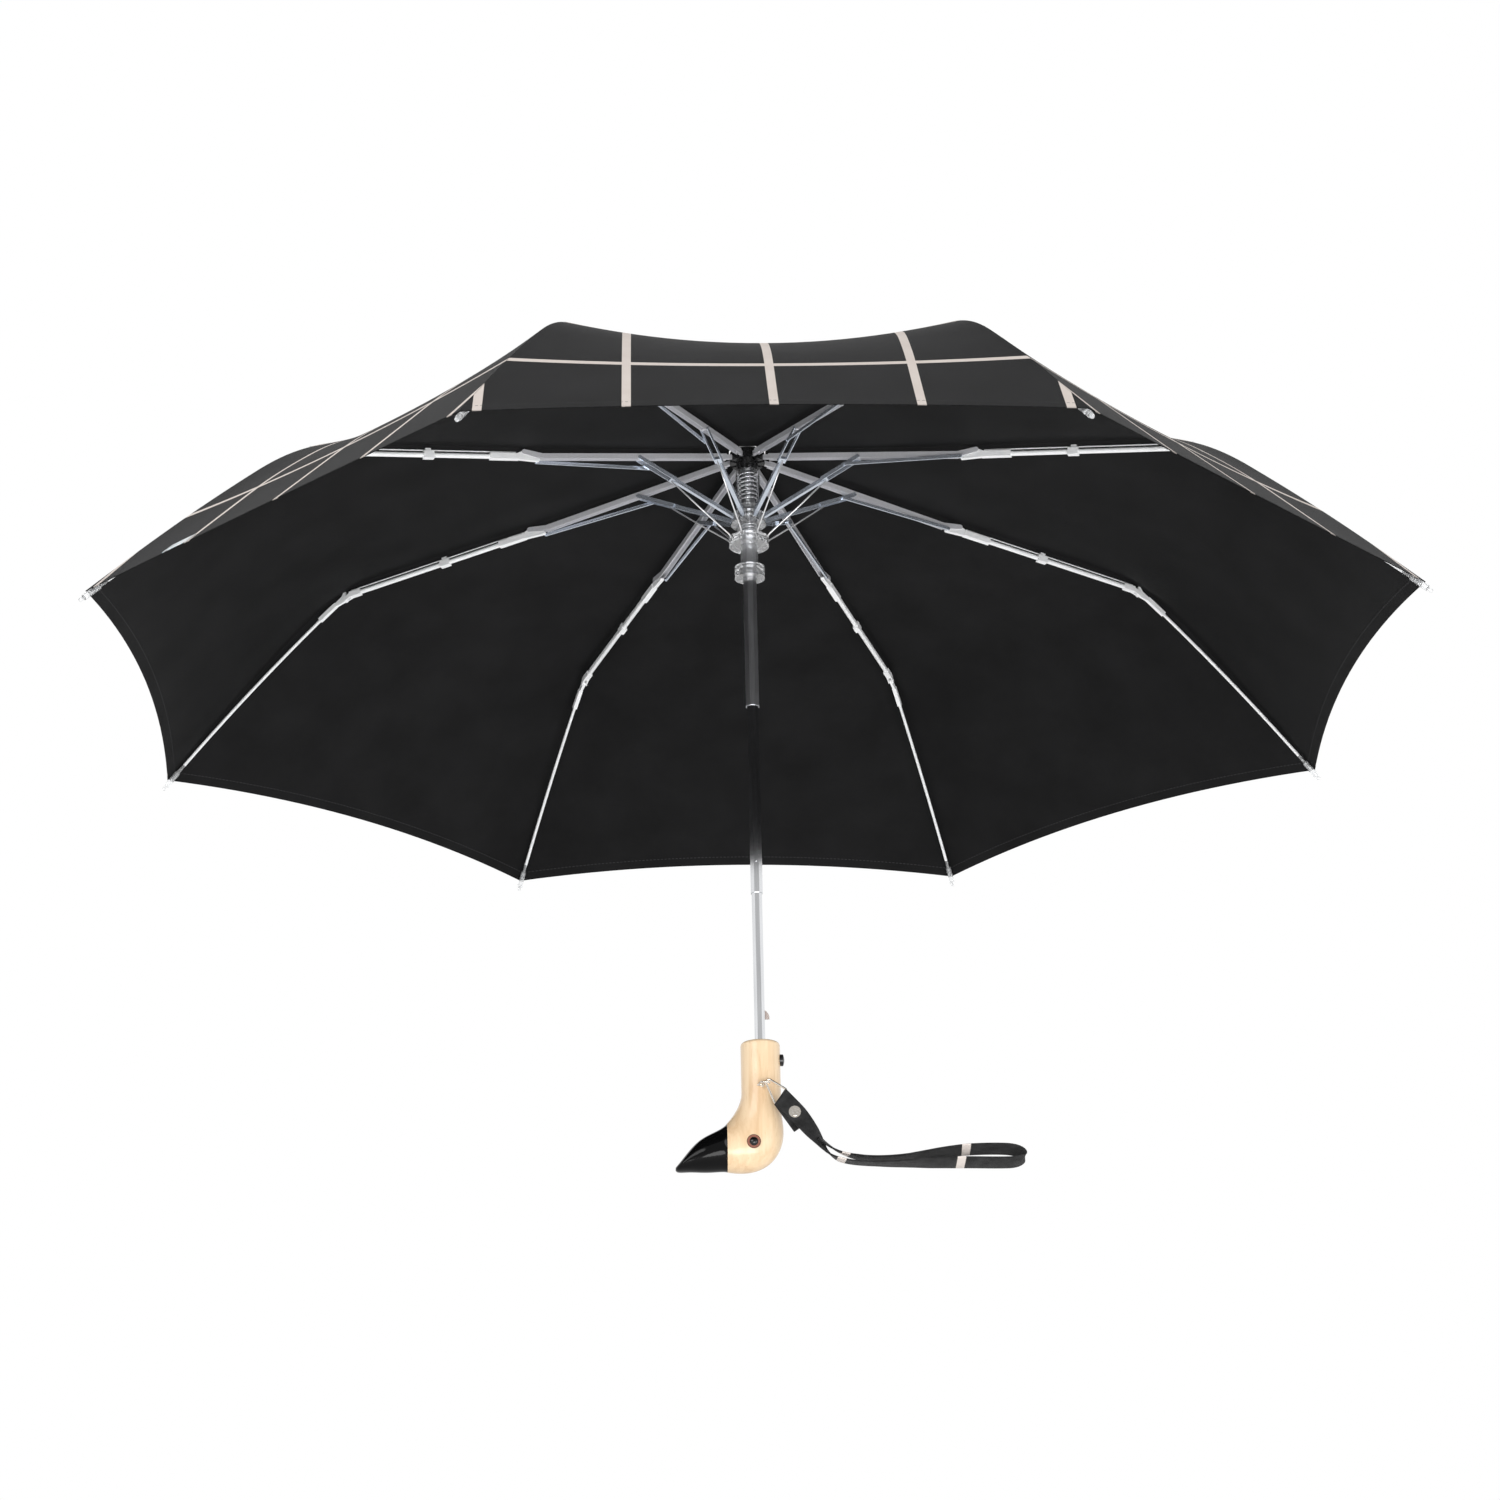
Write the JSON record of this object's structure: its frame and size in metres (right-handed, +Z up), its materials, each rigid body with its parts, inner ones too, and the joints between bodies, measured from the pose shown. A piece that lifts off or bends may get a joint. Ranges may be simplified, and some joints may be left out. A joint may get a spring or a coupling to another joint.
{
  "type": "folding umbrella",
  "caption": "Compact folding automatic umbrella, open, with a black canopy printed with a pale grid, telescopic shaft, lacquered wooden duck-head handle and wrist strap.",
  "frame": {"origin": "on the shaft's axis, at the flat underside of the duck head", "axes": "+Z up the shaft to the crown; the duck's beak points to -X, the release button to +X"},
  "size_m": [0.9172, 0.9172, 0.5695],
  "materials": {
    "maple": "clear gloss lacquer",
    "black_lacquer": "gloss lacquer",
    "eye": "gloss",
    "chrome": "polished",
    "steel": "satin",
    "zinc": "satin zinc plating",
    "brass": "polished brass plating",
    "clear_plastic": "frosted translucent",
    "white_plastic": "satin",
    "canopy": "black pongee with a pale grid",
    "black_plastic": "satin",
    "latch_nylon": "satin",
    "webbing": "woven"
  },
  "bodies": {
    "root": {"handle": "maple", "beak": "black_lacquer", "eyes": "eye", "lower_tube": "chrome", "strap_staple": "brass"},
    "middle_tube": {"middle_tube": "chrome", "drive_spring": "steel"},
    "top_tube": {"top_tube": "chrome", "crown": "black_plastic", "canopy": "canopy"},
    "runner": {"runner": "clear_plastic", "runner_spring": "steel"},
    "lower_ring": {"lower_ring": "clear_plastic", "lower_spring": "steel", "brace_wires": "steel"},
    "push_button": {"push_button": "black_plastic"},
    "shaft_latch": {"shaft_latch": "latch_nylon"},
    "strap_ring": {"strap_ring": "chrome", "strap": "webbing", "strap_snap": "chrome"},
    "main_rib_1": {"main_rib_1": "steel"},
    "stretcher_1": {"stretcher_1": "zinc"},
    "tie_bar_1": {"tie_bar_1": "zinc"},
    "middle_rib_1": {"middle_rib_1": "white_plastic"},
    "tip_rib_1": {"tip_rib_1": "white_plastic"},
    "main_rib_2": {"main_rib_2": "steel"},
    "stretcher_2": {"stretcher_2": "zinc"},
    "tie_bar_2": {"tie_bar_2": "zinc"},
    "middle_rib_2": {"middle_rib_2": "white_plastic"},
    "tip_rib_2": {"tip_rib_2": "white_plastic"},
    "main_rib_3": {"main_rib_3": "steel"},
    "stretcher_3": {"stretcher_3": "zinc"},
    "tie_bar_3": {"tie_bar_3": "zinc"},
    "middle_rib_3": {"middle_rib_3": "white_plastic"},
    "tip_rib_3": {"tip_rib_3": "white_plastic"},
    "main_rib_4": {"main_rib_4": "steel"},
    "stretcher_4": {"stretcher_4": "zinc"},
    "tie_bar_4": {"tie_bar_4": "zinc"},
    "middle_rib_4": {"middle_rib_4": "white_plastic"},
    "tip_rib_4": {"tip_rib_4": "white_plastic"},
    "main_rib_5": {"main_rib_5": "steel"},
    "stretcher_5": {"stretcher_5": "zinc"},
    "tie_bar_5": {"tie_bar_5": "zinc"},
    "middle_rib_5": {"middle_rib_5": "white_plastic"},
    "tip_rib_5": {"tip_rib_5": "white_plastic"},
    "main_rib_6": {"main_rib_6": "steel"},
    "stretcher_6": {"stretcher_6": "zinc"},
    "tie_bar_6": {"tie_bar_6": "zinc"},
    "middle_rib_6": {"middle_rib_6": "white_plastic"},
    "tip_rib_6": {"tip_rib_6": "white_plastic"},
    "main_rib_7": {"main_rib_7": "steel"},
    "stretcher_7": {"stretcher_7": "zinc"},
    "tie_bar_7": {"tie_bar_7": "zinc"},
    "middle_rib_7": {"middle_rib_7": "white_plastic"},
    "tip_rib_7": {"tip_rib_7": "white_plastic"},
    "main_rib_8": {"main_rib_8": "steel"},
    "stretcher_8": {"stretcher_8": "zinc"},
    "tie_bar_8": {"tie_bar_8": "zinc"},
    "middle_rib_8": {"middle_rib_8": "white_plastic"},
    "tip_rib_8": {"tip_rib_8": "white_plastic"}
  },
  "joints": [
    {"name": "middle_tube_slide", "type": "slide", "parent": "root", "child": "middle_tube", "axis": [0, 0, -1], "range_m": [0, 0.082], "deforming": ["drive_spring"]},
    {"name": "top_tube_slide", "type": "slide", "parent": "middle_tube", "child": "top_tube", "axis": [0, 0, -1], "range_m": [0, 0.14]},
    {"name": "runner_slide", "type": "slide", "parent": "top_tube", "child": "runner", "axis": [0, 0, -1], "range_m": [0, 0.11466], "deforming": ["canopy", "brace_wires"]},
    {"name": "lower_ring_slide", "type": "slide", "parent": "runner", "child": "lower_ring", "axis": [0, 0, 1], "range_m": [0, 0.0095], "deforming": ["lower_spring", "brace_wires"]},
    {"name": "main_rib_1_pivot", "type": "hinge", "parent": "top_tube", "child": "main_rib_1", "pos_m": [0.0097, 0.00402, 0.5473], "axis": [0.3827, -0.9239, 0], "range_deg": [-76.92, 0]},
    {"name": "stretcher_1_pivot", "type": "hinge", "parent": "runner", "child": "stretcher_1", "pos_m": [0.0097, 0.00402, 0.4972], "axis": [0.3827, -0.9239, 0], "range_deg": [0, 63.86]},
    {"name": "tie_bar_1_pivot", "type": "hinge", "parent": "stretcher_1", "child": "tie_bar_1", "pos_m": [0.07203, 0.02984, 0.52748], "axis": [0.3827, -0.9239, 0], "range_deg": [-137.18, 0]},
    {"name": "middle_rib_1_pivot", "type": "hinge", "parent": "main_rib_1", "child": "middle_rib_1", "pos_m": [0.1658, 0.06868, 0.52076], "axis": [0.3827, -0.9239, 0], "range_deg": [0, 175.82]},
    {"name": "tip_rib_1_pivot", "type": "hinge", "parent": "middle_rib_1", "child": "tip_rib_1", "pos_m": [0.3128, 0.12957, 0.48967], "axis": [0.3827, -0.9239, 0], "range_deg": [-147.26, 0]},
    {"name": "main_rib_2_pivot", "type": "hinge", "parent": "top_tube", "child": "main_rib_2", "pos_m": [0.00402, 0.0097, 0.5473], "axis": [0.9239, -0.3827, 0], "range_deg": [-76.92, 0]},
    {"name": "stretcher_2_pivot", "type": "hinge", "parent": "runner", "child": "stretcher_2", "pos_m": [0.00402, 0.0097, 0.4972], "axis": [0.9239, -0.3827, 0], "range_deg": [0, 63.86]},
    {"name": "tie_bar_2_pivot", "type": "hinge", "parent": "stretcher_2", "child": "tie_bar_2", "pos_m": [0.02984, 0.07203, 0.52748], "axis": [0.9239, -0.3827, 0], "range_deg": [-137.18, 0]},
    {"name": "middle_rib_2_pivot", "type": "hinge", "parent": "main_rib_2", "child": "middle_rib_2", "pos_m": [0.06868, 0.1658, 0.52076], "axis": [0.9239, -0.3827, 0], "range_deg": [0, 175.82]},
    {"name": "tip_rib_2_pivot", "type": "hinge", "parent": "middle_rib_2", "child": "tip_rib_2", "pos_m": [0.12957, 0.3128, 0.48967], "axis": [0.9239, -0.3827, 0], "range_deg": [-147.26, 0]},
    {"name": "main_rib_3_pivot", "type": "hinge", "parent": "top_tube", "child": "main_rib_3", "pos_m": [-0.00402, 0.0097, 0.5473], "axis": [0.9239, 0.3827, 0], "range_deg": [-76.92, 0]},
    {"name": "stretcher_3_pivot", "type": "hinge", "parent": "runner", "child": "stretcher_3", "pos_m": [-0.00402, 0.0097, 0.4972], "axis": [0.9239, 0.3827, 0], "range_deg": [0, 63.86]},
    {"name": "tie_bar_3_pivot", "type": "hinge", "parent": "stretcher_3", "child": "tie_bar_3", "pos_m": [-0.02984, 0.07203, 0.52748], "axis": [0.9239, 0.3827, 0], "range_deg": [-137.18, 0]},
    {"name": "middle_rib_3_pivot", "type": "hinge", "parent": "main_rib_3", "child": "middle_rib_3", "pos_m": [-0.06868, 0.1658, 0.52076], "axis": [0.9239, 0.3827, 0], "range_deg": [0, 175.82]},
    {"name": "tip_rib_3_pivot", "type": "hinge", "parent": "middle_rib_3", "child": "tip_rib_3", "pos_m": [-0.12957, 0.3128, 0.48967], "axis": [0.9239, 0.3827, 0], "range_deg": [-147.26, 0]},
    {"name": "main_rib_4_pivot", "type": "hinge", "parent": "top_tube", "child": "main_rib_4", "pos_m": [-0.0097, 0.00402, 0.5473], "axis": [0.3827, 0.9239, 0], "range_deg": [-76.92, 0]},
    {"name": "stretcher_4_pivot", "type": "hinge", "parent": "runner", "child": "stretcher_4", "pos_m": [-0.0097, 0.00402, 0.4972], "axis": [0.3827, 0.9239, 0], "range_deg": [0, 63.86]},
    {"name": "tie_bar_4_pivot", "type": "hinge", "parent": "stretcher_4", "child": "tie_bar_4", "pos_m": [-0.07203, 0.02984, 0.52748], "axis": [0.3827, 0.9239, 0], "range_deg": [-137.18, 0]},
    {"name": "middle_rib_4_pivot", "type": "hinge", "parent": "main_rib_4", "child": "middle_rib_4", "pos_m": [-0.1658, 0.06868, 0.52076], "axis": [0.3827, 0.9239, 0], "range_deg": [0, 175.82]},
    {"name": "tip_rib_4_pivot", "type": "hinge", "parent": "middle_rib_4", "child": "tip_rib_4", "pos_m": [-0.3128, 0.12957, 0.48967], "axis": [0.3827, 0.9239, 0], "range_deg": [-147.26, 0]},
    {"name": "main_rib_5_pivot", "type": "hinge", "parent": "top_tube", "child": "main_rib_5", "pos_m": [-0.0097, -0.00402, 0.5473], "axis": [-0.3827, 0.9239, 0], "range_deg": [-76.92, 0]},
    {"name": "stretcher_5_pivot", "type": "hinge", "parent": "runner", "child": "stretcher_5", "pos_m": [-0.0097, -0.00402, 0.4972], "axis": [-0.3827, 0.9239, 0], "range_deg": [0, 63.86]},
    {"name": "tie_bar_5_pivot", "type": "hinge", "parent": "stretcher_5", "child": "tie_bar_5", "pos_m": [-0.07203, -0.02984, 0.52748], "axis": [-0.3827, 0.9239, 0], "range_deg": [-137.18, 0]},
    {"name": "middle_rib_5_pivot", "type": "hinge", "parent": "main_rib_5", "child": "middle_rib_5", "pos_m": [-0.1658, -0.06868, 0.52076], "axis": [-0.3827, 0.9239, 0], "range_deg": [0, 175.82]},
    {"name": "tip_rib_5_pivot", "type": "hinge", "parent": "middle_rib_5", "child": "tip_rib_5", "pos_m": [-0.3128, -0.12957, 0.48967], "axis": [-0.3827, 0.9239, 0], "range_deg": [-147.26, 0]},
    {"name": "main_rib_6_pivot", "type": "hinge", "parent": "top_tube", "child": "main_rib_6", "pos_m": [-0.00402, -0.0097, 0.5473], "axis": [-0.9239, 0.3827, 0], "range_deg": [-76.92, 0]},
    {"name": "stretcher_6_pivot", "type": "hinge", "parent": "runner", "child": "stretcher_6", "pos_m": [-0.00402, -0.0097, 0.4972], "axis": [-0.9239, 0.3827, 0], "range_deg": [0, 63.86]},
    {"name": "tie_bar_6_pivot", "type": "hinge", "parent": "stretcher_6", "child": "tie_bar_6", "pos_m": [-0.02984, -0.07203, 0.52748], "axis": [-0.9239, 0.3827, 0], "range_deg": [-137.18, 0]},
    {"name": "middle_rib_6_pivot", "type": "hinge", "parent": "main_rib_6", "child": "middle_rib_6", "pos_m": [-0.06868, -0.1658, 0.52076], "axis": [-0.9239, 0.3827, 0], "range_deg": [0, 175.82]},
    {"name": "tip_rib_6_pivot", "type": "hinge", "parent": "middle_rib_6", "child": "tip_rib_6", "pos_m": [-0.12957, -0.3128, 0.48967], "axis": [-0.9239, 0.3827, 0], "range_deg": [-147.26, 0]},
    {"name": "main_rib_7_pivot", "type": "hinge", "parent": "top_tube", "child": "main_rib_7", "pos_m": [0.00402, -0.0097, 0.5473], "axis": [-0.9239, -0.3827, 0], "range_deg": [-76.92, 0]},
    {"name": "stretcher_7_pivot", "type": "hinge", "parent": "runner", "child": "stretcher_7", "pos_m": [0.00402, -0.0097, 0.4972], "axis": [-0.9239, -0.3827, 0], "range_deg": [0, 63.86]},
    {"name": "tie_bar_7_pivot", "type": "hinge", "parent": "stretcher_7", "child": "tie_bar_7", "pos_m": [0.02984, -0.07203, 0.52748], "axis": [-0.9239, -0.3827, 0], "range_deg": [-137.18, 0]},
    {"name": "middle_rib_7_pivot", "type": "hinge", "parent": "main_rib_7", "child": "middle_rib_7", "pos_m": [0.06868, -0.1658, 0.52076], "axis": [-0.9239, -0.3827, 0], "range_deg": [0, 175.82]},
    {"name": "tip_rib_7_pivot", "type": "hinge", "parent": "middle_rib_7", "child": "tip_rib_7", "pos_m": [0.12957, -0.3128, 0.48967], "axis": [-0.9239, -0.3827, 0], "range_deg": [-147.26, 0]},
    {"name": "main_rib_8_pivot", "type": "hinge", "parent": "top_tube", "child": "main_rib_8", "pos_m": [0.0097, -0.00402, 0.5473], "axis": [-0.3827, -0.9239, 0], "range_deg": [-76.92, 0]},
    {"name": "stretcher_8_pivot", "type": "hinge", "parent": "runner", "child": "stretcher_8", "pos_m": [0.0097, -0.00402, 0.4972], "axis": [-0.3827, -0.9239, 0], "range_deg": [0, 63.86]},
    {"name": "tie_bar_8_pivot", "type": "hinge", "parent": "stretcher_8", "child": "tie_bar_8", "pos_m": [0.07203, -0.02984, 0.52748], "axis": [-0.3827, -0.9239, 0], "range_deg": [-137.18, 0]},
    {"name": "middle_rib_8_pivot", "type": "hinge", "parent": "main_rib_8", "child": "middle_rib_8", "pos_m": [0.1658, -0.06868, 0.52076], "axis": [-0.3827, -0.9239, 0], "range_deg": [0, 175.82]},
    {"name": "tip_rib_8_pivot", "type": "hinge", "parent": "middle_rib_8", "child": "tip_rib_8", "pos_m": [0.3128, -0.12957, 0.48967], "axis": [-0.3827, -0.9239, 0], "range_deg": [-147.26, 0]},
    {"name": "button_press", "type": "slide", "parent": "root", "child": "push_button", "axis": [-1, 0, 0], "range_m": [0, 0.0028], "stiffness_N_per_m": 500},
    {"name": "latch_press", "type": "slide", "parent": "root", "child": "shaft_latch", "axis": [-1, 0, 0], "range_m": [0, 0.00337], "stiffness_N_per_m": 300},
    {"name": "strap_ring_swing", "type": "hinge", "parent": "root", "child": "strap_ring", "pos_m": [0.00493, -0.01991, 0.0595], "axis": [0, 1, 0], "range_deg": [-60, 18]}
  ],
  "couplings": [
    {"joint": "lower_ring_slide", "follows": "runner_slide", "ratio": 0.082769},
    {"joint": "main_rib_1_pivot", "follows": "runner_slide", "rad_per_m": -11.706},
    {"joint": "stretcher_1_pivot", "follows": "runner_slide", "rad_per_m": 9.7183},
    {"joint": "tie_bar_1_pivot", "follows": "runner_slide", "rad_per_m": -20.879},
    {"joint": "middle_rib_1_pivot", "follows": "runner_slide", "rad_per_m": 26.761},
    {"joint": "tip_rib_1_pivot", "follows": "runner_slide", "rad_per_m": -22.413},
    {"joint": "main_rib_2_pivot", "follows": "runner_slide", "rad_per_m": -11.706},
    {"joint": "stretcher_2_pivot", "follows": "runner_slide", "rad_per_m": 9.7183},
    {"joint": "tie_bar_2_pivot", "follows": "runner_slide", "rad_per_m": -20.879},
    {"joint": "middle_rib_2_pivot", "follows": "runner_slide", "rad_per_m": 26.761},
    {"joint": "tip_rib_2_pivot", "follows": "runner_slide", "rad_per_m": -22.413},
    {"joint": "main_rib_3_pivot", "follows": "runner_slide", "rad_per_m": -11.706},
    {"joint": "stretcher_3_pivot", "follows": "runner_slide", "rad_per_m": 9.7183},
    {"joint": "tie_bar_3_pivot", "follows": "runner_slide", "rad_per_m": -20.879},
    {"joint": "middle_rib_3_pivot", "follows": "runner_slide", "rad_per_m": 26.761},
    {"joint": "tip_rib_3_pivot", "follows": "runner_slide", "rad_per_m": -22.413},
    {"joint": "main_rib_4_pivot", "follows": "runner_slide", "rad_per_m": -11.706},
    {"joint": "stretcher_4_pivot", "follows": "runner_slide", "rad_per_m": 9.7183},
    {"joint": "tie_bar_4_pivot", "follows": "runner_slide", "rad_per_m": -20.879},
    {"joint": "middle_rib_4_pivot", "follows": "runner_slide", "rad_per_m": 26.761},
    {"joint": "tip_rib_4_pivot", "follows": "runner_slide", "rad_per_m": -22.413},
    {"joint": "main_rib_5_pivot", "follows": "runner_slide", "rad_per_m": -11.706},
    {"joint": "stretcher_5_pivot", "follows": "runner_slide", "rad_per_m": 9.7183},
    {"joint": "tie_bar_5_pivot", "follows": "runner_slide", "rad_per_m": -20.879},
    {"joint": "middle_rib_5_pivot", "follows": "runner_slide", "rad_per_m": 26.761},
    {"joint": "tip_rib_5_pivot", "follows": "runner_slide", "rad_per_m": -22.413},
    {"joint": "main_rib_6_pivot", "follows": "runner_slide", "rad_per_m": -11.706},
    {"joint": "stretcher_6_pivot", "follows": "runner_slide", "rad_per_m": 9.7183},
    {"joint": "tie_bar_6_pivot", "follows": "runner_slide", "rad_per_m": -20.879},
    {"joint": "middle_rib_6_pivot", "follows": "runner_slide", "rad_per_m": 26.761},
    {"joint": "tip_rib_6_pivot", "follows": "runner_slide", "rad_per_m": -22.413},
    {"joint": "main_rib_7_pivot", "follows": "runner_slide", "rad_per_m": -11.706},
    {"joint": "stretcher_7_pivot", "follows": "runner_slide", "rad_per_m": 9.7183},
    {"joint": "tie_bar_7_pivot", "follows": "runner_slide", "rad_per_m": -20.879},
    {"joint": "middle_rib_7_pivot", "follows": "runner_slide", "rad_per_m": 26.761},
    {"joint": "tip_rib_7_pivot", "follows": "runner_slide", "rad_per_m": -22.413},
    {"joint": "main_rib_8_pivot", "follows": "runner_slide", "rad_per_m": -11.706},
    {"joint": "stretcher_8_pivot", "follows": "runner_slide", "rad_per_m": 9.7183},
    {"joint": "tie_bar_8_pivot", "follows": "runner_slide", "rad_per_m": -20.879},
    {"joint": "middle_rib_8_pivot", "follows": "runner_slide", "rad_per_m": 26.761},
    {"joint": "tip_rib_8_pivot", "follows": "runner_slide", "rad_per_m": -22.413},
    {"joint": "latch_press", "follows": "button_press", "ratio": 1.2}
  ]
}
